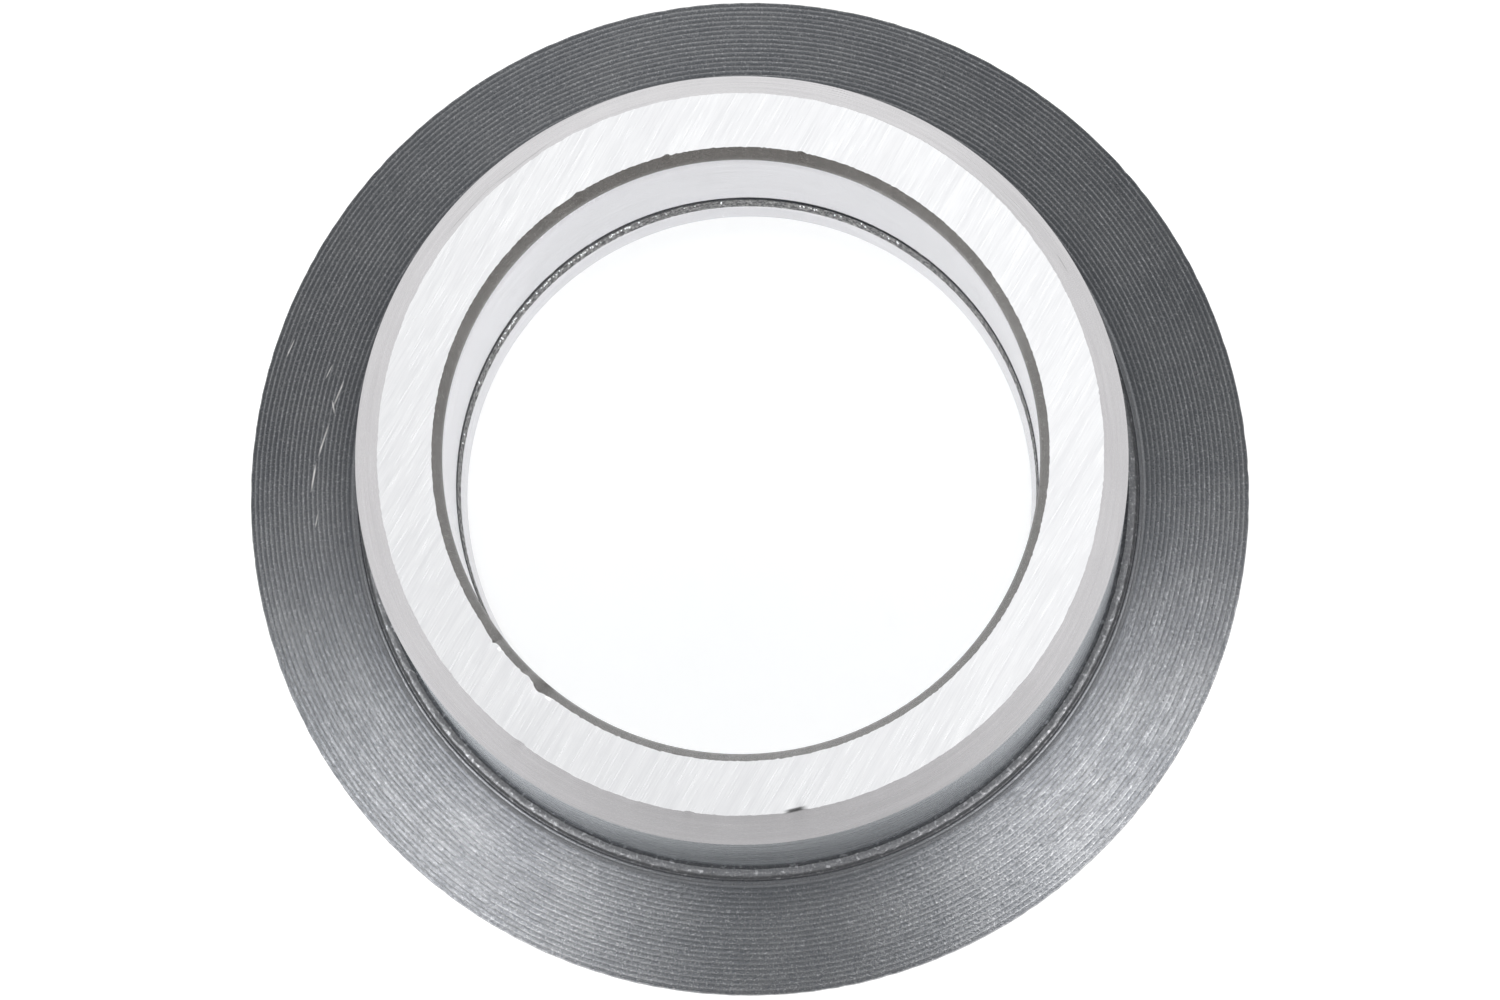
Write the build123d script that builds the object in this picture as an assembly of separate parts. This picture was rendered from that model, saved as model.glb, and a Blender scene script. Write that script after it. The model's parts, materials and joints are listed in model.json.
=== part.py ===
from build123d import *
from math import radians, tan
import os

# Fused sight glass: one turned steel ring with a cone-faced flange and a long collar,
# and a glass disc melted into its bore. Millimetres, +Z up along the bore's axis,
# with the origin at the centre of the flange's back face.

# Steel ring
flange_diameter = 60.0
flange_cone_angle = 25.0
rim_height = 3.8
rim_land = 0.8
rim_draft_angle = 6.0
flange_edge_break = 0.25
collar_diameter = 45.0
overall_height = 26.5
lead_in_height = 3.0
lead_in_depth = 1.45
foot_ledge_diameter = 46.0
foot_ledge_height = 0.35

# Bore through the ring
bore_diameter = 34.7
mouth_chamfer_height = 1.5
mouth_chamfer_depth = 0.55
rear_edge_break = 0.2

# Glass, and the dark layer that bonds it to the steel and lies flush with the bore
glass_recess = 4.7
glass_thickness = 4.5
glass_rim_crown = 0.04
meniscus_rise = 0.08
meniscus_width = 0.25
bond_thickness = 0.2

flange_radius = flange_diameter / 2
back_radius = flange_radius - (rim_height - rim_land) * tan(radians(rim_draft_angle))
collar_radius = collar_diameter / 2
ledge_radius = foot_ledge_diameter / 2
cone_top = rim_height + (flange_radius - ledge_radius) * tan(radians(flange_cone_angle))
ledge_top = cone_top + foot_ledge_height
bore_radius = bore_diameter / 2
seat_radius = bore_radius + bond_thickness
glass_top = glass_recess + glass_thickness
glass_middle = glass_recess + glass_thickness / 2
bond_bottom = glass_recess - meniscus_rise
bond_top = glass_top + meniscus_rise


def turn(outline):
    """Turns a closed half-section, drawn in the XZ plane, about the Z axis."""
    return revolve(make_face(outline), Axis.Z)


def steel_ring():
    """The flange and collar, machined from one bar, with the bore and the glass's seat."""
    outline = Polyline(
        (bore_radius + rear_edge_break, 0, 0),
        (back_radius - flange_edge_break, 0, 0),
        (back_radius, 0, flange_edge_break),
        (flange_radius, 0, rim_height - rim_land),
        (flange_radius, 0, rim_height),
        (ledge_radius, 0, cone_top),
        (ledge_radius, 0, ledge_top),
        (collar_radius, 0, ledge_top),
        (collar_radius, 0, overall_height - lead_in_height),
        (collar_radius - lead_in_depth, 0, overall_height),
        (bore_radius + mouth_chamfer_depth, 0, overall_height),
        (bore_radius, 0, overall_height - mouth_chamfer_height),
        (bore_radius, 0, bond_top),
        (seat_radius, 0, bond_top),
        (seat_radius, 0, bond_bottom),
        (bore_radius, 0, bond_bottom),
        (bore_radius, 0, rear_edge_break),
        close=True,
    )
    return turn(outline)


def glass_rim():
    """The slightly crowned line where the disc meets the bond layer, from the top down."""
    return ThreePointArc(
        (bore_radius, 0, bond_top),
        (bore_radius + glass_rim_crown, 0, glass_middle),
        (bore_radius, 0, bond_bottom),
    )


def meniscus(level, rise):
    """The curve by which a glass face at this level creeps up or down the bore wall."""
    level_radius = bore_radius - meniscus_width
    return ThreePointArc(
        (level_radius, 0, level),
        (level_radius + meniscus_width * 0.7, 0, level + rise * 0.3),
        (bore_radius, 0, level + rise),
    )


def glass_disc():
    """The glass, level across the middle, creeping along the bore wall on both faces."""
    level_radius = bore_radius - meniscus_width
    outline = [
        Line((0, 0, glass_recess), (0, 0, glass_top)),
        Line((0, 0, glass_top), (level_radius, 0, glass_top)),
        meniscus(glass_top, meniscus_rise),
        glass_rim(),
        meniscus(glass_recess, -meniscus_rise),
        Line((level_radius, 0, glass_recess), (0, 0, glass_recess)),
    ]
    return turn(Wire(outline))


def bond_ring():
    """The thin dark oxide and glass layer between the disc and the steel."""
    outline = [
        glass_rim(),
        Line((bore_radius, 0, bond_bottom), (seat_radius, 0, bond_bottom)),
        Line((seat_radius, 0, bond_bottom), (seat_radius, 0, bond_top)),
        Line((seat_radius, 0, bond_top), (bore_radius, 0, bond_top)),
    ]
    return turn(Wire(outline))


os.makedirs("parts", exist_ok=True)
export_step(steel_ring(), "parts/steel_ring.step")
export_step(glass_disc(), "parts/glass_disc.step")
export_step(bond_ring(), "parts/bond_ring.step")
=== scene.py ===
import json
import math

import bmesh
import bpy
import numpy as np
from mathutils import Matrix, Vector


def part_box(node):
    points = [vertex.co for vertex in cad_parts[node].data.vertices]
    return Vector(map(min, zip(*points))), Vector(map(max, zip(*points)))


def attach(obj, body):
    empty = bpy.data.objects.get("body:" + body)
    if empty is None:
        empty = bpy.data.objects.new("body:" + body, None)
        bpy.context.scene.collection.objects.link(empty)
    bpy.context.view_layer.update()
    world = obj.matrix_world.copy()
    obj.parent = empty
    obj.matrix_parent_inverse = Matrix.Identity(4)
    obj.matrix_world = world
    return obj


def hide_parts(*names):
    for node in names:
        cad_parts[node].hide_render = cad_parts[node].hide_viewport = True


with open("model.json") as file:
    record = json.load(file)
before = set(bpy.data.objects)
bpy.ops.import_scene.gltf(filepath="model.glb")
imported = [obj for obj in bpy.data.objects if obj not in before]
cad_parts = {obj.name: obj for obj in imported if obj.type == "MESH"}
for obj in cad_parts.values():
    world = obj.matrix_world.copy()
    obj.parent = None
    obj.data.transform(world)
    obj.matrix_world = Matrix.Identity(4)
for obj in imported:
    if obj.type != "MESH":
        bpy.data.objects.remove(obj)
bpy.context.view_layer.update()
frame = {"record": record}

# Sizes are in millimetres, in the frame of the CAD part with +Z along the bore, except where
# a comment says metres.
MM = 0.001
record = frame["record"]
mounts = {mount["name"]: mount for mount in record["mounts"]}


def mount_radius(name):
    return mounts[name]["dims"]["r_mm"]


def mount_span(name):
    """The heights between which a round mount's wall runs."""
    middle = mounts[name]["pos_m"][2] / MM
    half = mounts[name]["dims"]["length_mm"] / 2
    return middle - half, middle + half


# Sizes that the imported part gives
flange_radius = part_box("steel_ring")[1].x / MM
overall_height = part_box("steel_ring")[1].z / MM
collar_radius = mount_radius("collar")
ledge_top, lead_in_start = mount_span("collar")
bore_radius = mount_radius("window_bore")
mouth_start = mount_span("window_bore")[1]
bond_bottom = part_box("bond_ring")[0].z / MM
bond_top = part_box("bond_ring")[1].z / MM
seat_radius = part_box("bond_ring")[1].x / MM

# Smaller features of the turned profile
edge_break = 0.25
rear_edge_break = 0.2
rim_height = 3.8
rim_land = 0.8
rim_draft = 0.315
cone_slope = math.tan(math.radians(25))
lead_in_depth = 1.45
mouth_depth = 0.55
meniscus_rise = 0.08
ground_outer = collar_radius - lead_in_depth
ground_inner = bore_radius + mouth_depth
undercut_depth = 0.20

# Tool marks
groove_start = 23.75
groove_count = 21
groove_depth = 0.024
groove_depths = groove_depth * np.random.default_rng(11).uniform(0.9, 1.1, groove_count + 1)
rows_per_groove = 7
feed = (flange_radius - groove_start) / groove_count
wander_fade = 0.6
chatter = 0.0008
lay_angle = math.radians(60)

# Damage: how far the rim is worn in, how far the wear of the ground face's two edges spreads,
# and their nicks, each with its depth, its angle and width in degrees, and its bluntness
rim_wear = 0.022
least_rim_wear = 0.012
mouth_wear_reach = 0.5
outer_wear_reach = 0.35
mouth_nicks = (
    (0.24, 229.4, 2.6, 1.4),
    (0.12, 231.0, 3.4, 1.0),
    (0.16, 217.4, 1.2, 1.0),
    (0.08, 216.0, 3.4, 2.0),
    (0.10, 78.5, 1.6, 2.0),
    (0.09, 104.0, 1.8, 2.0),
    (0.08, 122.0, 1.8, 2.0),
    (0.05, 36.0, 1.2, 2.0),
    (-0.10, 226.6, 1.4, 2.0),
    (-0.06, 218.9, 1.0, 2.0),
)
outer_nicks = (
    (0.13, 279.0, 3.4, 1.4),
    (0.05, 128.0, 9.0, 2.0),
    (0.08, 233.0, 2.0, 2.0),
    (0.08, 262.0, 1.6, 2.0),
)

# Vertices around the ring, and the angles above which an edge of a mesh is shaded sharp
SEGMENTS = 360
FINE_SEGMENTS = 2 * SEGMENTS
steel_sharp_angle = math.radians(22)
glass_sharp_angle = math.radians(40)


def cone_height(radius):
    return rim_height + (flange_radius - radius) * cone_slope


# ---------------------------------------------------------------- steel ring mesh

def waves(theta, seed, lowest, highest):
    """A seeded sum of waves around the ring, of unit root-mean-square height."""
    count = 24
    rng = np.random.default_rng(seed)
    total = np.zeros_like(theta)
    for _ in range(count):
        total += np.cos(rng.integers(lowest, highest) * theta + rng.uniform(0, 2 * math.pi))
    return total / math.sqrt(count / 2)


def angle_from(theta, degrees):
    """How far each angle is from one given in degrees, between half a turn either way."""
    return (theta - math.radians(degrees) + math.pi) % (2 * math.pi) - math.pi


def dent(theta, degrees, width, bluntness):
    """A dip of unit depth centred at an angle, with its width given in degrees."""
    off = angle_from(theta, degrees)
    near = np.clip(1 - np.abs(off) / math.radians(width / 2), 0, 1)
    return near ** (1 / bluntness)


def nicks(theta, table):
    return sum(depth * dent(theta, *place) for depth, *place in table)


def swell(theta, degrees, width):
    """A smooth hump of unit height centred at an angle, with its half-width in degrees."""
    return np.exp(-(angle_from(theta, degrees) / math.radians(width)) ** 2)


def mouth_raggedness(theta):
    """How far the broken inner edge of the ground face stands out from its circle."""
    ragged = 0.006 * waves(theta, 3, 30, 110) + 0.011 * waves(theta, 4, 120, 350)
    return ragged + nicks(theta, mouth_nicks)


def outer_raggedness(theta):
    """How far the outer edge of the ground face is worn in from its circle."""
    ragged = 0.010 * waves(theta, 5, 12, 90) + 0.009 * waves(theta, 6, 120, 350)
    return ragged + nicks(theta, outer_nicks)


def is_grooved(radius, zone):
    """Whether a row is on the turned cone, and not on the first line of the collar's foot."""
    return zone == "flange" and radius > groove_start + 0.01


def groove_bowl(radius, theta):
    """How deep the groove under a row is, and how far down it the row lies, from 0 to 1."""
    turns = (flange_radius - radius) / feed
    turn = round(turns * rows_per_groove) // rows_per_groove
    depth = groove_depths[turn] * (1 + 0.03 * waves(theta + turn, 13, 3, 30))
    depth *= 1 + 0.4 * swell(theta, 198, 40) - 0.5 * swell(theta, 274, 34)
    share = 1 - (2 * (turns - turn) - 1) ** 2
    return depth, share


def groove_wander(radius, theta):
    """How far a groove strays from its circle, less towards the rim and the foot."""
    fade = min(1, (flange_radius - radius) / wander_fade, (radius - groove_start) / wander_fade)
    return fade * (0.016 * waves(theta, 7, 1, 9) + 0.004 * waves(theta, 8, 20, 90))


def groove_shade(radius, zone, theta):
    """About 1 in a groove's bottom and 0 on its ridges, for the oxide that gathers there."""
    if not is_grooved(radius, zone):
        return np.zeros_like(theta)
    depth, share = groove_bowl(radius, theta)
    return 0.5 + (share - 0.5) * depth / groove_depth


def angles(fine=False):
    """The angles of one row's vertices around the ring."""
    return np.linspace(0, 2 * math.pi, FINE_SEGMENTS if fine else SEGMENTS, endpoint=False)


def ring_points(radii, heights, theta):
    return np.stack([radii * np.cos(theta), radii * np.sin(theta), heights], axis=1)


def rows_between(start, end, count, zone, fine=False):
    """Evenly spaced profile rows from start up to, and without, end."""
    share = np.arange(count) / count
    radii = start[0] + (end[0] - start[0]) * share
    heights = start[1] + (end[1] - start[1]) * share
    return [(r, h, zone, fine) for r, h in zip(radii, heights)]


def foot_rows():
    """The collar's foot: a fine ridge, a dark furrow, the torn step, and a thin undercut."""
    # Radius, height above the cone's line, and zone
    foot = [
        (groove_start, 0.0, "flange"),
        (23.62, -0.05, "flange"),
        (23.54, 0.02, "flange"),
        (23.46, 0.03, "flange"),
        (23.40, 0.00, "flange"),
        (23.34, -0.07, "furrow"),
        (23.26, -0.05, "furrow"),
        (23.20, 0.12, "ledge"),
        (23.13, 0.26, "ledge"),
        (23.00, 0.27, "ledge"),
        (22.86, 0.22, "ledge"),
        (22.72, 0.16, "ledge"),
        (22.64, 0.04, "furrow"),
        (22.57, -0.03, "furrow"),
    ]
    return [(r, cone_height(r) + h, zone, False) for r, h, zone in foot]


def ring_rows():
    """The turned profile, from the back face round to the bore: (radius, height, zone, fine)."""
    back = flange_radius - rim_draft
    rows = rows_between((bore_radius + rear_edge_break, 0), (back - edge_break, 0), 12, "back")
    rows += rows_between((back - edge_break, 0), (back, edge_break), 2, "rim")
    rows += rows_between((back, edge_break), (flange_radius, rim_height - rim_land), 5, "rim")
    rows += rows_between((flange_radius, rim_height - rim_land), (flange_radius, rim_height), 4, "rim")
    rows += rows_between((flange_radius, rim_height), (groove_start, cone_height(groove_start)),
                         groove_count * rows_per_groove, "flange")
    rows += foot_rows()
    rows += rows_between((collar_radius, ledge_top - undercut_depth), (collar_radius, lead_in_start),
                         8, "collar")
    rows += rows_between((collar_radius, lead_in_start), (ground_outer, overall_height), 8, "bevel", True)
    rows += rows_between((ground_outer, overall_height), (ground_inner, overall_height), 14, "ground", True)
    rows += rows_between((ground_inner, overall_height), (bore_radius, mouth_start), 4, "mouth", True)
    rows += rows_between((bore_radius, mouth_start), (bore_radius, bond_top), 8, "bore")
    rows += rows_between((bore_radius, bond_top), (seat_radius, bond_top), 1, "seat")
    rows += rows_between((seat_radius, bond_top), (seat_radius, bond_bottom), 1, "seat")
    rows += rows_between((seat_radius, bond_bottom), (bore_radius, bond_bottom), 1, "seat")
    rows += rows_between((bore_radius, bond_bottom), (bore_radius, rear_edge_break), 3, "bore")
    rows += rows_between((bore_radius, rear_edge_break), (bore_radius + rear_edge_break, 0), 2, "bore")
    return rows


def worn(radius, height, zone, theta):
    """One row's radii and heights around the ring, with tool marks, burrs and nicks."""
    radii = np.full_like(theta, radius)
    heights = np.full_like(theta, height)
    if is_grooved(radius, zone):
        stray = groove_wander(radius, theta)
        depth, share = groove_bowl(radius, theta)
        radii += stray
        heights -= stray * cone_slope + depth * share
        heights += chatter * waves(theta + radius, 12, 60, 175)
    if zone == "rim" or radius > flange_radius - 0.1:
        radii -= np.clip(rim_wear + 0.011 * waves(theta, 9, 40, 170), least_rim_wear, None)
    if zone == "ledge" and height > cone_height(radius) + 0.1:
        radii += 0.012 * waves(theta, 10, 30, 170)
        heights += 0.014 * waves(theta, round(100 * radius), 60, 175)
    if zone in ("ground", "mouth"):
        reach = (radius - bore_radius) / mouth_depth
        if zone == "ground":
            reach = np.exp(-(radius - ground_inner) / mouth_wear_reach)
        ragged = mouth_raggedness(theta)
        radii += ragged * reach
        heights -= 0.25 * np.clip(ragged - 0.08, 0, None) * reach
    if zone in ("ground", "bevel"):
        reach = np.exp(-abs(ground_outer - radius) / outer_wear_reach)
        ragged = outer_raggedness(theta)
        radii -= ragged * reach
        heights -= 0.30 * np.clip(ragged - 0.06, 0, None) * reach
    return radii, heights


def revolve_rows(name, rows, shape):
    """A closed ring mesh from profile rows; fine rows have twice the segments of the others."""
    points, starts, faces, zones = [], [], [], []
    for radius, height, zone, fine in rows:
        theta = angles(fine)
        radii, heights = shape(radius, height, zone, theta)
        starts.append(sum(len(p) for p in points))
        points.append(ring_points(radii, heights, theta))
    for i, row in enumerate(rows):
        j = (i + 1) % len(rows)
        band = band_faces(starts[i], row[3], starts[j], rows[j][3])
        faces += band
        zones += [row[2]] * len(band)
    mesh = bpy.data.meshes.new(name)
    mesh.from_pydata((np.concatenate(points) * MM).tolist(), [], faces)
    return mesh, zones


def add_groove_shade(mesh, rows):
    """Keeps each vertex's groove shade on the mesh, for the oxide material to read."""
    shades = [groove_shade(radius, zone, angles(fine)) for radius, _, zone, fine in rows]
    attribute = mesh.attributes.new("groove_shade", "FLOAT", "POINT")
    attribute.data.foreach_set("value", np.concatenate(shades).astype(np.float32))


def band_faces(lower, lower_fine, upper, upper_fine):
    """The faces between two neighbouring rows of vertices."""
    if lower_fine == upper_fine:
        n = FINE_SEGMENTS if lower_fine else SEGMENTS
        return [(lower + k, lower + (k + 1) % n, upper + (k + 1) % n, upper + k) for k in range(n)]
    faces = []
    for k in range(SEGMENTS):
        after, middle = (k + 1) % SEGMENTS, 2 * k + 1
        last = (2 * k + 2) % FINE_SEGMENTS
        if upper_fine:
            faces.append((lower + k, upper + middle, upper + 2 * k))
            faces.append((lower + k, lower + after, upper + middle))
            faces.append((lower + after, upper + last, upper + middle))
        else:
            faces.append((upper + k, lower + 2 * k, lower + middle))
            faces.append((upper + k, lower + middle, upper + after))
            faces.append((upper + after, lower + middle, lower + last))
    return faces


def add_object(name, mesh, materials):
    piece = bpy.data.objects.new(name, mesh)
    bpy.context.scene.collection.objects.link(piece)
    for material in materials:
        mesh.materials.append(material)
    return piece


def build_steel_ring(materials):
    """materials maps each zone of the profile to its finish."""
    rows = ring_rows()
    mesh, zones = revolve_rows("turned_steel_ring", rows, worn)
    add_groove_shade(mesh, rows)
    order = list(dict.fromkeys(zones))
    mesh.polygons.foreach_set("material_index", [order.index(z) for z in zones])
    mesh.shade_smooth()
    mesh.set_sharp_from_angle(angle=steel_sharp_angle)
    mesh.update()
    return add_object("turned_steel_ring", mesh, [materials[z] for z in order])


# ---------------------------------------------------------------- glass and bond meshes

def build_glass(material):
    """Rows run from the middle of the lower face, up the rim, to the middle of the upper one."""
    top, bottom = bond_top - meniscus_rise, bond_bottom + meniscus_rise
    spread = np.linspace(0.5, bore_radius - 0.05, 16)
    upper = [(r, top) for r in spread] + [(bore_radius, top + 0.01)]
    under = [(r, bottom) for r in spread] + [(bore_radius, bottom - 0.01)]
    rows = under + upper[::-1]
    theta = angles()
    points = [ring_points(radius, np.full_like(theta, height), theta) for radius, height in rows]
    faces = []
    for i in range(len(rows) - 1):
        faces += band_faces(i * SEGMENTS, False, (i + 1) * SEGMENTS, False)
    last = (len(rows) - 1) * SEGMENTS
    faces.append(tuple(range(SEGMENTS))[::-1])
    faces.append(tuple(last + k for k in range(SEGMENTS)))
    mesh = bpy.data.meshes.new("window_glass")
    mesh.from_pydata((np.concatenate(points) * MM).tolist(), [], faces)
    mesh.shade_smooth()
    mesh.set_sharp_from_angle(angle=glass_sharp_angle)
    mesh.update()
    return add_object("window_glass", mesh, [material])


def bond_shape(radius, height, zone, theta):
    """One row of the bond, whose inner face stands slightly and unevenly proud of the bore."""
    radii = np.full_like(theta, radius)
    heights = np.full_like(theta, height)
    if zone == "inner" and height < bond_top:
        radii -= np.clip(0.008 + 0.006 * waves(theta + height, 31, 20, 170), 0, 0.02)
    return radii, heights


def bead_mesh(mesh):
    """Tall thin bubbles caught in the upper part of the bond, most of them on one side."""
    rng = np.random.default_rng(41)
    # First and last angle in degrees, and how many bubbles lie between them
    spans = ((112, 150, 60), (60, 80, 9), (50, 175, 30))
    bead_angles = np.concatenate([rng.uniform(low, high, count) for low, high, count in spans])
    shape = bmesh.new()
    shape.from_mesh(mesh)
    for degrees in bead_angles:
        size = rng.uniform(0.045, 0.085)
        theta = math.radians(degrees)
        height = bond_top - rng.uniform(1.2, 2.0)
        inset = bore_radius - 0.6 * size
        place = Vector((inset * math.cos(theta), inset * math.sin(theta), height)) * MM
        matrix = Matrix.Translation(place) @ Matrix.Diagonal((1, 1, rng.uniform(4, 8), 1))
        before = len(shape.faces)
        bmesh.ops.create_icosphere(shape, subdivisions=1, radius=size * MM, matrix=matrix)
        shape.faces.ensure_lookup_table()
        for face in shape.faces[before:]:
            face.material_index = 1
            face.smooth = True
    shape.to_mesh(mesh)
    shape.free()


def build_bond(material, bead_material):
    """The dark band on the bore wall, a little uneven where it wets the glass."""
    rows = rows_between((bore_radius, bond_bottom), (seat_radius, bond_bottom), 1, "outer")
    rows += rows_between((seat_radius, bond_bottom), (seat_radius, bond_top), 1, "outer")
    rows += rows_between((seat_radius, bond_top), (bore_radius, bond_top), 1, "outer")
    rows += rows_between((bore_radius, bond_top), (bore_radius, bond_bottom), 16, "inner")
    mesh, _ = revolve_rows("bond_band", rows, bond_shape)
    mesh.shade_smooth()
    bead_mesh(mesh)
    mesh.set_sharp_from_angle(angle=glass_sharp_angle)
    mesh.update()
    return add_object("bond_band", mesh, [material, bead_material])


# ---------------------------------------------------------------- materials

class Surface:
    """A Principled material and short ways to add nodes to it."""

    def __init__(self, name, color, metallic, roughness):
        self.material = bpy.data.materials.new(name)
        self.material.use_nodes = True
        self.tree = self.material.node_tree
        self.shader = self.tree.nodes["Principled BSDF"]
        self.shader.inputs["Base Color"].default_value = (*color, 1)
        self.shader.inputs["Metallic"].default_value = metallic
        self.shader.inputs["Roughness"].default_value = roughness
        coordinates = self.tree.nodes.new("ShaderNodeTexCoord").outputs["Object"]
        self.place = self.vector("MULTIPLY", coordinates, (1 / MM, 1 / MM, 1 / MM))

    def feed(self, socket, value):
        """Links a node's output to a socket, or sets the socket to a plain value."""
        if isinstance(value, bpy.types.NodeSocket):
            self.tree.links.new(value, socket)
        else:
            socket.default_value = value

    def math(self, operation, a, b=0.0):
        node = self.tree.nodes.new("ShaderNodeMath")
        node.operation = operation
        self.feed(node.inputs[0], a)
        self.feed(node.inputs[1], b)
        return node.outputs[0]

    def vector(self, operation, a, b=(0, 0, 0)):
        node = self.tree.nodes.new("ShaderNodeVectorMath")
        node.operation = operation
        self.feed(node.inputs[0], a)
        self.feed(node.inputs[1], b)
        return node.outputs["Value" if operation == "LENGTH" else "Vector"]

    def parts(self, vector):
        node = self.tree.nodes.new("ShaderNodeSeparateXYZ")
        self.feed(node.inputs[0], vector)
        return node.outputs

    def joined(self, x, y, z):
        node = self.tree.nodes.new("ShaderNodeCombineXYZ")
        for socket, value in zip(node.inputs, (x, y, z)):
            self.feed(socket, value)
        return node.outputs[0]

    def polar(self):
        """(radius, arc length at the collar, height), for marks that run round the ring."""
        x, y, z = self.parts(self.place)
        radius = self.vector("LENGTH", self.joined(x, y, 0.0))
        return radius, self.math("MULTIPLY", self.math("ARCTAN2", y, x), collar_radius), z

    def noise(self, vector, scale=1.0, detail=2.0, roughness=0.5):
        node = self.tree.nodes.new("ShaderNodeTexNoise")
        self.feed(node.inputs["Vector"], vector)
        node.inputs["Scale"].default_value = scale
        node.inputs["Detail"].default_value = detail
        node.inputs["Roughness"].default_value = roughness
        return node.outputs["Fac"]

    def ramp(self, value, low, high, to_low=0.0, to_high=1.0):
        """Turns the range from low to high into to_low to to_high, and holds it beyond."""
        node = self.tree.nodes.new("ShaderNodeMapRange")
        for socket, v in zip(node.inputs, (value, low, high, to_low, to_high)):
            self.feed(socket, v)
        return node.outputs["Result"]

    def mix(self, share, a, b):
        node = self.tree.nodes.new("ShaderNodeMix")
        node.data_type = "RGBA"
        self.feed(node.inputs["Factor"], share)
        for socket, value in zip((node.inputs[6], node.inputs[7]), (a, b)):
            self.feed(socket, value if isinstance(value, bpy.types.NodeSocket) else (*value, 1))
        return node.outputs[2]

    def bump(self, height, strength, depth):
        """Adds a bump whose height of 1 stands for a depth in millimetres."""
        node = self.tree.nodes.new("ShaderNodeBump")
        node.inputs["Strength"].default_value = strength
        node.inputs["Distance"].default_value = depth * MM
        self.feed(node.inputs["Height"], height)
        self.feed(self.shader.inputs["Normal"], node.outputs["Normal"])

    def line(self, middle, degrees, length, width):
        """1 on a straight hairline in the XY plane, 0 off it."""
        node = self.tree.nodes.new("ShaderNodeMapping")
        node.vector_type = "TEXTURE"
        node.inputs["Location"].default_value = (*middle, 0)
        node.inputs["Rotation"].default_value = (0, 0, math.radians(degrees))
        node.inputs["Scale"].default_value = (length / 2, width / 2, 1)
        self.feed(node.inputs["Vector"], self.place)
        x, y, _ = self.parts(node.outputs[0])
        along = self.ramp(self.math("ABSOLUTE", x), 0.4, 1.0, 1.0, 0.0)
        across = self.ramp(self.math("ABSOLUTE", y), 0.4, 1.0, 1.0, 0.0)
        return self.math("MULTIPLY", along, across)

    def lay(self, direction, strength):
        """Stretches highlights across the direction of the tool's marks."""
        self.shader.inputs["Anisotropic"].default_value = strength
        self.shader.inputs["Anisotropic Rotation"].default_value = 0.25
        self.feed(self.shader.inputs["Tangent"], direction)

    def turned(self, strength):
        """A lay that runs round the axis, as on turned metal."""
        tangent = self.tree.nodes.new("ShaderNodeTangent")
        tangent.direction_type = "RADIAL"
        tangent.axis = "Z"
        self.lay(tangent.outputs[0], strength)


def oxide_surface():
    """Dark blue-grey furnace oxide over rough turning, sparkling with small bright grains."""
    s = Surface("oxidised_turned_steel", (0.15, 0.155, 0.165), 0.85, 0.36)
    radius, arc, height = s.polar()
    across = s.math("ADD", s.math("MULTIPLY", radius, 7.0), s.math("MULTIPLY", height, 6.0))
    lines = s.noise(s.joined(across, s.math("MULTIPLY", arc, 0.8), 0.0), 1.0, 3.0, 0.65)
    patches = s.noise(s.place, 0.22, 3.0, 0.6)
    grains = s.noise(s.place, 5.5, 3.0, 0.75)
    fine = s.noise(s.vector("ADD", s.place, (7.0, 3.0, 5.0)), 8.0, 1.0, 0.5)
    base = s.mix(s.ramp(patches, 0.35, 0.65), (0.130, 0.134, 0.141), (0.171, 0.174, 0.178))
    base = s.mix(s.ramp(lines, 0.40, 0.70, 0.0, 0.4), base, (0.220, 0.224, 0.232))
    base = s.mix(s.ramp(grains, 0.52, 0.36, 0.0, 0.65), base, (0.070, 0.075, 0.085))
    base = s.mix(s.ramp(fine, 0.58, 0.70, 0.0, 0.55), base, (0.41, 0.41, 0.42))
    attribute = s.tree.nodes.new("ShaderNodeAttribute")
    attribute.attribute_name = "groove_shade"
    shade = attribute.outputs["Fac"]
    base = s.mix(s.ramp(shade, 0.30, 1.5, 0.0, 0.85), base, (0.070, 0.074, 0.082))
    base = s.mix(s.ramp(shade, 0.05, 0.45, 0.4, 0.0), base, (0.300, 0.302, 0.310))
    # Painted shade: the flange's colour darkens towards the collar's foot, where the collar shades it.
    painted_foot_shade = s.ramp(radius, groove_start - 0.3, groove_start + 2.0, 0.50, 0.0)
    base = s.mix(painted_foot_shade, base, (0.06, 0.063, 0.07))
    for middle, degrees, length, width in (
        ((-25.5, 3.2), 72, 2.2, 0.13),
        ((-24.6, 6.0), 68, 1.8, 0.13),
        ((-24.9, 5.2), 100, 0.9, 0.12),
        ((-26.1, 1.0), 80, 1.9, 0.13),
        ((-25.2, 7.4), 64, 1.0, 0.09),
        ((-27.6, 9.0), 66, 1.3, 0.09),
        ((-25.9, -1.6), 80, 0.9, 0.08),
    ):
        scratch = s.line(middle, degrees, length, width)
        base = s.mix(s.math("MULTIPLY", scratch, 0.85), base, (0.66, 0.64, 0.63))
    s.feed(s.shader.inputs["Base Color"], base)
    s.feed(s.shader.inputs["Roughness"], s.ramp(grains, 0.3, 0.7, 0.38, 0.26))
    s.bump(s.math("ADD", grains, s.math("MULTIPLY", lines, 0.2)), 0.8, 0.03)
    s.turned(0.3)
    return s.material


def on_circle(radius, degrees):
    angle = math.radians(degrees)
    return radius * math.cos(angle), radius * math.sin(angle)


def painted_nick_shade(s, base):
    """Painted shade: a dark smear in the one deep nick on the edge between the ground face and the bevel,
    where shade falls.
    """
    nick_shade_mask = s.line(on_circle(ground_outer - 0.10, 278.7), 13.0, 1.5, 0.27)
    return s.mix(s.math("MULTIPLY", nick_shade_mask, 0.9), base, (0.05, 0.05, 0.05))


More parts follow.
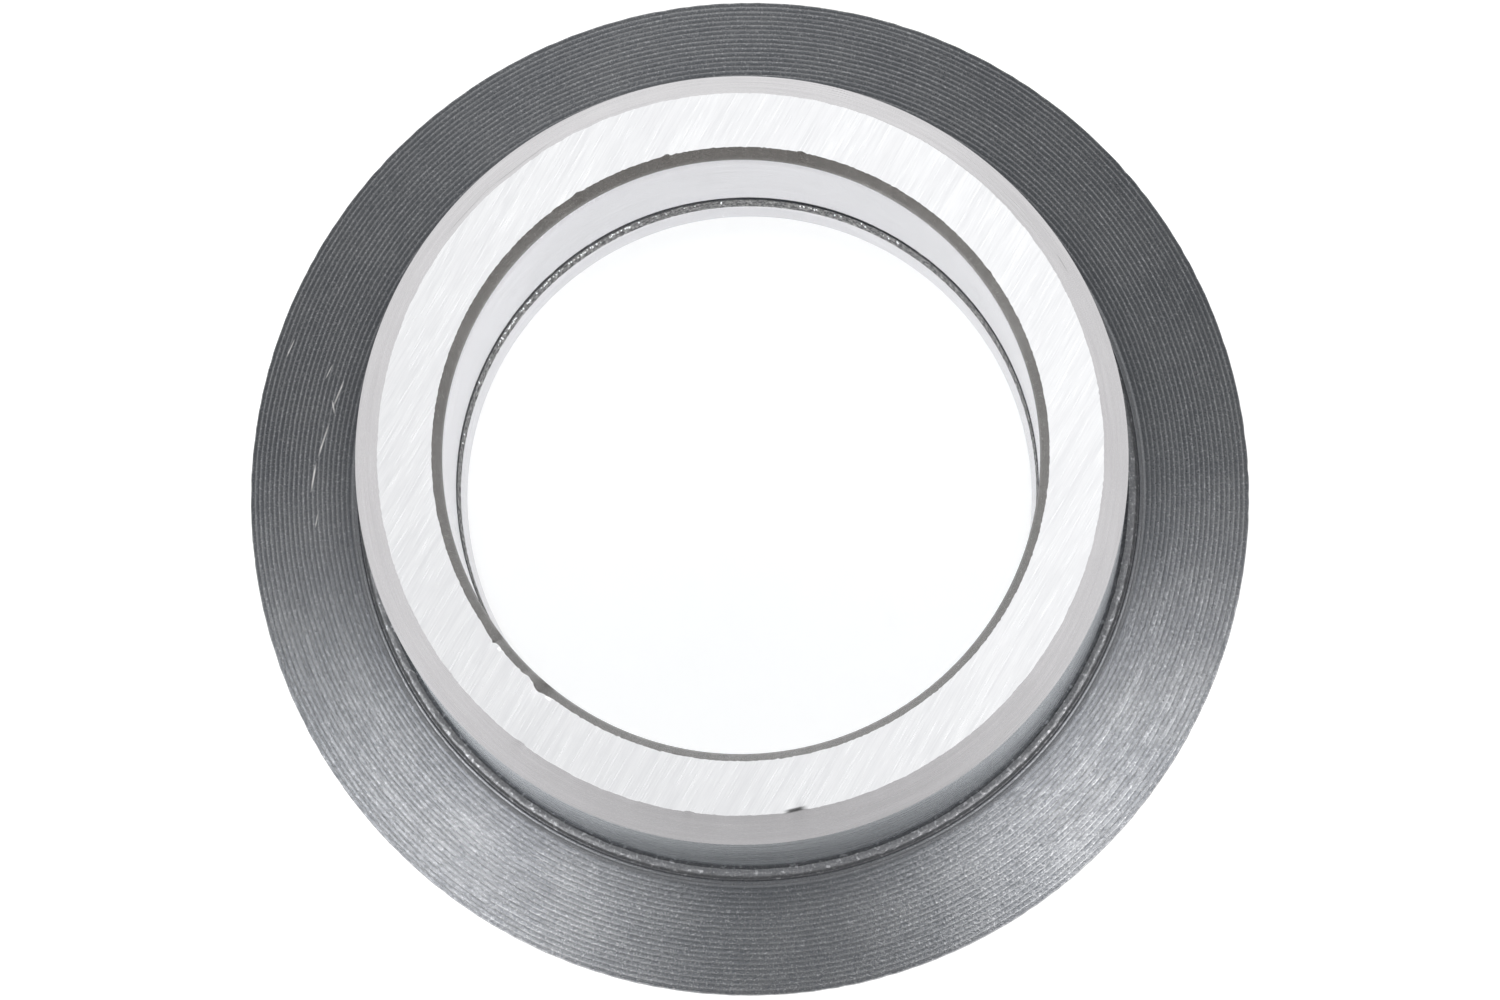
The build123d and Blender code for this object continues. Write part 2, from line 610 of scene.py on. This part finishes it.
def ground_surface():
    """Bright steel with the straight lines of a surface grinder."""
    s = Surface("ground_steel", (0.66, 0.66, 0.67), 1.0, 0.3)
    turn = s.tree.nodes.new("ShaderNodeVectorRotate")
    turn.rotation_type = "Z_AXIS"
    turn.inputs["Angle"].default_value = -lay_angle
    s.feed(turn.inputs["Vector"], s.place)
    along, across, z = s.parts(turn.outputs[0])
    narrow_lines = s.joined(s.math("MULTIPLY", along, 0.45), s.math("MULTIPLY", across, 13.0), z)
    broad_lines = s.joined(s.math("MULTIPLY", along, 0.12), s.math("MULTIPLY", across, 2.2), z)
    fine = s.noise(narrow_lines, 1.0, 3.0, 0.65)
    broad = s.noise(broad_lines, 1.0, 3.0, 0.55)
    clouds = s.noise(s.place, 0.3, 2.0, 0.5)
    streaks = s.math("ADD", s.math("MULTIPLY", fine, 0.6), s.math("MULTIPLY", broad, 0.4))
    base = s.mix(s.ramp(streaks, 0.38, 0.62), (0.60, 0.60, 0.61), (0.69, 0.69, 0.695))
    base = s.mix(s.ramp(fine, 0.62, 0.72, 0.0, 0.5), base, (0.78, 0.78, 0.78))
    base = s.mix(s.ramp(clouds, 0.35, 0.65, 0.0, 0.3), base, (0.62, 0.62, 0.63))
    # Painted highlights: two small white patches beside the nicks stand in for burrs catching the light.
    for degrees, radius, length in ((232.0, 18.05, 0.5), (219.2, 17.98, 0.3)):
        burr_highlight = s.line(on_circle(radius, degrees), degrees + 90, length, 0.22)
        base = s.mix(s.math("MULTIPLY", burr_highlight, 0.9), base, (0.97, 0.97, 0.97))
    # The deep nick gets painted shade.
    s.feed(s.shader.inputs["Base Color"], painted_nick_shade(s, base))
    s.feed(s.shader.inputs["Roughness"], s.ramp(fine, 0.3, 0.7, 0.34, 0.26))
    s.bump(streaks, 0.25, 0.02)
    s.lay(s.joined(math.cos(lay_angle), math.sin(lay_angle), 0.0), 0.5)
    return s.material


def turned_surface(name, color, roughness, streak, worn_and_shaded_edge=False):
    """Fine-turned steel: thin rings of slightly different brightness."""
    s = Surface(name, color, 1.0, roughness)
    radius, arc, height = s.polar()
    across = s.math("ADD", s.math("MULTIPLY", radius, 5.0), s.math("MULTIPLY", height, 5.0))
    rings = s.noise(s.joined(across, s.math("MULTIPLY", arc, 0.10), 0.0), 1.0, 4.0, 0.6)
    clouds = s.noise(s.place, 0.5, 3.0, 0.6)
    speckle = s.noise(s.place, 9.0, 2.0, 0.6)
    darker = tuple(c * (1 - streak) for c in color)
    base = s.mix(s.ramp(rings, 0.3, 0.7), darker, color)
    base = s.mix(s.ramp(clouds, 0.35, 0.65, 0.0, 0.6), base, tuple(c * 0.90 for c in color))
    base = s.mix(s.ramp(speckle, 0.55, 0.70, 0.0, 0.5), base, tuple(c * 1.15 for c in color))
    # With this flag the bevel gets painted shade in its deep nick and real dark scratches.
    if worn_and_shaded_edge:
        # Painted shade in the deep nick.
        base = painted_nick_shade(s, base)
        for degrees, reach, length in ((127.0, 0.22, 5.5), (138.0, 0.30, 4.0), (31.0, 0.75, 1.6)):
            scratch = s.line(on_circle(ground_outer + reach, degrees), degrees + 90, length, 0.09)
            base = s.mix(s.math("MULTIPLY", scratch, 0.55), base, (0.20, 0.20, 0.20))
    s.feed(s.shader.inputs["Base Color"], base)
    s.feed(s.shader.inputs["Roughness"], s.ramp(rings, 0.3, 0.7, roughness * 1.25, roughness * 0.8))
    s.bump(s.math("ADD", rings, s.math("MULTIPLY", speckle, 0.4)), 0.35, 0.012)
    s.turned(0.4)
    return s.material


def mouth_surface():
    """Brown-grey oxide with a slight gloss, left in the bore's mouth chamfer."""
    s = Surface("oxidised_mouth", (0.04, 0.036, 0.032), 0.0, 0.34)
    s.shader.inputs["IOR"].default_value = 1.68
    s.shader.inputs["Specular Tint"].default_value = (1.0, 0.94, 0.88, 1)
    _, arc, height = s.polar()
    grain = s.noise(s.place, 6.0, 3.0, 0.6)
    tint = s.noise(s.joined(s.math("MULTIPLY", arc, 0.5), height, 0.0), 1.0, 2.0)
    base = s.mix(s.ramp(tint, 0.35, 0.65), (0.022, 0.019, 0.016), (0.038, 0.033, 0.029))
    base = s.mix(s.ramp(grain, 0.40, 0.7, 0.0, 0.5), base, (0.10, 0.094, 0.088))
    s.feed(s.shader.inputs["Base Color"], base)
    s.feed(s.shader.inputs["Roughness"], s.ramp(grain, 0.3, 0.7, 0.16, 0.28))
    s.bump(grain, 0.2, 0.015)
    return s.material


def ledge_surface(name, dark, light):
    """The narrow torn step at the collar's foot and its furrows, with crumbs of bare metal."""
    s = Surface(name, dark, 0.7, 0.4)
    crumbs = s.noise(s.place, 6.0, 3.0, 0.7)
    glints = s.noise(s.place, 3.0, 2.0, 0.5)
    base = s.mix(s.ramp(crumbs, 0.44, 0.66), dark, light)
    base = s.mix(s.ramp(glints, 0.60, 0.68, 0.0, 0.6), base, tuple(2.2 * c for c in light))
    s.feed(s.shader.inputs["Base Color"], base)
    s.feed(s.shader.inputs["Roughness"], s.ramp(crumbs, 0.3, 0.7, 0.5, 0.34))
    s.bump(crumbs, 0.6, 0.03)
    return s.material


def bead_surface():
    """Bubbles: bright glints with a slightly varied tone."""
    s = Surface("bond_bubbles", (0.92, 0.92, 0.92), 0.9, 0.1)
    tone = s.noise(s.place, 2.0, 1.0)
    s.feed(s.shader.inputs["Base Color"], s.mix(tone, (0.85, 0.86, 0.87), (0.97, 0.97, 0.97)))
    return s.material


def glass_surface():
    """Clear borosilicate with a few handling scratches."""
    s = Surface("clear_glass", (0.985, 0.995, 1.0), 0.0, 0.0)
    s.shader.inputs["Transmission Weight"].default_value = 1.0
    s.shader.inputs["IOR"].default_value = 1.47
    scratches = 0.0
    for middle, degrees, length, width in (
        ((-4.2, -1.2), 82, 3.0, 0.07),
        ((8.4, -7.6), 112, 3.2, 0.06),
        ((-3.2, -10.6), 106, 3.6, 0.06),
        ((-10.8, 6.4), 140, 3.0, 0.05),
        ((6.2, 5.5), 20, 2.4, 0.05),
    ):
        scratches = s.math("MAXIMUM", scratches, s.line(middle, degrees, length, width))
    s.feed(s.shader.inputs["Base Color"], s.mix(scratches, (0.985, 0.995, 1.0), (0.88, 0.89, 0.90)))
    s.feed(s.shader.inputs["Roughness"], s.math("MULTIPLY", scratches, 0.25))
    s.bump(scratches, 0.2, 0.01)
    return s.material


def bond_surface():
    """Dark oxide glass: darkest at its crisp upper edge, speckled below."""
    s = Surface("bond_oxide", (0.12, 0.12, 0.125), 0.0, 0.3)
    s.shader.inputs["Specular IOR Level"].default_value = 0.0
    _, arc, height = s.polar()
    upright = s.joined(s.math("MULTIPLY", arc, 3.0), s.math("MULTIPLY", height, 0.9), 0.0)
    specks = s.noise(upright, 1.0, 3.0, 0.7)
    base = s.mix(s.ramp(specks, 0.40, 0.58), (0.14, 0.14, 0.145), (0.52, 0.515, 0.51))
    base = s.mix(s.ramp(specks, 0.58, 0.66, 0.0, 0.8), base, (0.92, 0.92, 0.92))
    upper_edge = s.ramp(height, bond_top - 1.3, bond_top - 1.0)
    base = s.mix(upper_edge, base, (0.045, 0.047, 0.055))
    s.feed(s.shader.inputs["Base Color"], base)
    s.feed(s.shader.inputs["Roughness"], s.ramp(specks, 0.3, 0.7, 0.45, 0.25))
    s.bump(specks, 0.5, 0.04)
    return s.material


# ---------------------------------------------------------------- studio

def floor_surface():
    """A pale, softly glowing table whose light fades toward the viewer's side."""
    s = Surface("light_table", (0.3, 0.3, 0.3), 0.0, 0.7)
    s.shader.inputs["Emission Color"].default_value = (1, 1, 1, 1)
    glow_at_part = 0.84
    _, y, _ = s.parts(s.place)
    far = s.ramp(y, 0.0, 60.0, glow_at_part, 1.0)
    near = s.ramp(y, -72.0, -32.0, 0.36, glow_at_part)
    glow = s.math("MULTIPLY", far, s.math("DIVIDE", near, glow_at_part))
    s.feed(s.shader.inputs["Emission Strength"], glow)
    tone = s.noise(s.place, 0.02, 2.0)
    s.feed(s.shader.inputs["Base Color"], s.mix(tone, (0.24, 0.24, 0.24), (0.28, 0.28, 0.28)))
    return s.material


def build_floor():
    """A square floor just under the part, in metres."""
    half, drop = 1.2, 0.0002
    mesh = bpy.data.meshes.new("floor")
    corners = [(-half, -half, -drop), (half, -half, -drop), (half, half, -drop), (-half, half, -drop)]
    mesh.from_pydata(corners, [], [(0, 1, 2, 3)])
    floor = add_object("floor", mesh, [floor_surface()])


def softbox(name, place, size, radiance):
    """A square white lamp that looks at the part; its place and size are in metres."""
    lamp = bpy.data.lights.new(name, "AREA")
    lamp.shape = "SQUARE"
    lamp.size = size
    lamp.energy = math.pi * radiance * size * size
    holder = bpy.data.objects.new(name, lamp)
    holder.location = place
    holder.rotation_euler = place.to_track_quat("Z", "Y").to_euler()
    bpy.context.scene.collection.objects.link(holder)


def direction(azimuth, elevation):
    a, e = math.radians(azimuth), math.radians(elevation)
    return Vector((math.cos(a) * math.cos(e), math.sin(a) * math.cos(e), math.sin(e)))


def build_lights():
    """A lamp above for the ground face, two bright ones for the cone, and a weak fill, in metres."""
    away = 0.6
    softbox("overhead", Vector((0.035, 0.127, 0.5)), 0.3, 1.22)
    softbox("lower_left", direction(217, 44) * away, 0.38, 7.4)
    softbox("lower_right", direction(327, 45) * away, 0.34, 7.1)
    softbox("far_fill", direction(102, 45) * away, 0.45, 0.9)
    world = bpy.data.worlds.new("studio")
    world.use_nodes = True
    background = world.node_tree.nodes["Background"]
    background.inputs["Color"].default_value = (0.96, 0.98, 1.0, 1)
    background.inputs["Strength"].default_value = 0.43
    bpy.context.scene.world = world


def build_camera():
    """A long lens almost on the bore's axis, tilted a little so that the bore's far wall shows."""
    # The middle of the view, where the lens stands from it, and a small shift of its aim
    middle = Vector((0, 0, 3.75)) * MM
    stand = Vector((14.4, -68.7, 617.4)) * MM
    shift = Vector((0.033, -0.216, 0)) * MM
    place = middle + stand
    aim = middle + shift
    backward = (place - aim).normalized()
    right = Vector((0, 1, 0)).cross(backward).normalized()
    up = backward.cross(right)
    camera = bpy.data.cameras.new("camera")
    camera.sensor_width = 36
    camera.lens = 248.3
    camera.clip_start = 0.01
    camera.clip_end = 10
    holder = bpy.data.objects.new("camera", camera)
    turn = Matrix((right, up, backward)).transposed()
    holder.matrix_world = Matrix.Translation(place) @ turn.to_4x4()
    bpy.context.scene.collection.objects.link(holder)
    bpy.context.scene.camera = holder


# ---------------------------------------------------------------- assembly

oxide = oxide_surface()
ring = build_steel_ring({
    "back": oxide,
    "rim": oxide,
    "flange": oxide,
    "seat": oxide,
    # The furrows' colours are darker than the step's: painted shade in their hollows.
    "furrow": ledge_surface("furrow", (0.075, 0.077, 0.082), (0.13, 0.13, 0.135)),
    "ledge": ledge_surface("torn_step", (0.095, 0.097, 0.102), (0.165, 0.165, 0.17)),
    "collar": turned_surface("turned_collar", (0.50, 0.525, 0.55), 0.26, 0.10),
    "bevel": turned_surface("turned_bevel", (0.465, 0.455, 0.465), 0.26, 0.10, worn_and_shaded_edge=True),
    "ground": ground_surface(),
    "mouth": mouth_surface(),
    "bore": turned_surface("bored_bright", (0.68, 0.67, 0.70), 0.2, 0.05),
})
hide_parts("steel_ring")
glass = build_glass(glass_surface())
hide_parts("glass_disc")
bond = build_bond(bond_surface(), bead_surface())
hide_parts("bond_ring")
for piece in (ring, glass, bond):
    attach(piece, "root")

build_floor()
build_lights()
build_camera()
bpy.context.scene.view_settings.view_transform = "Standard"
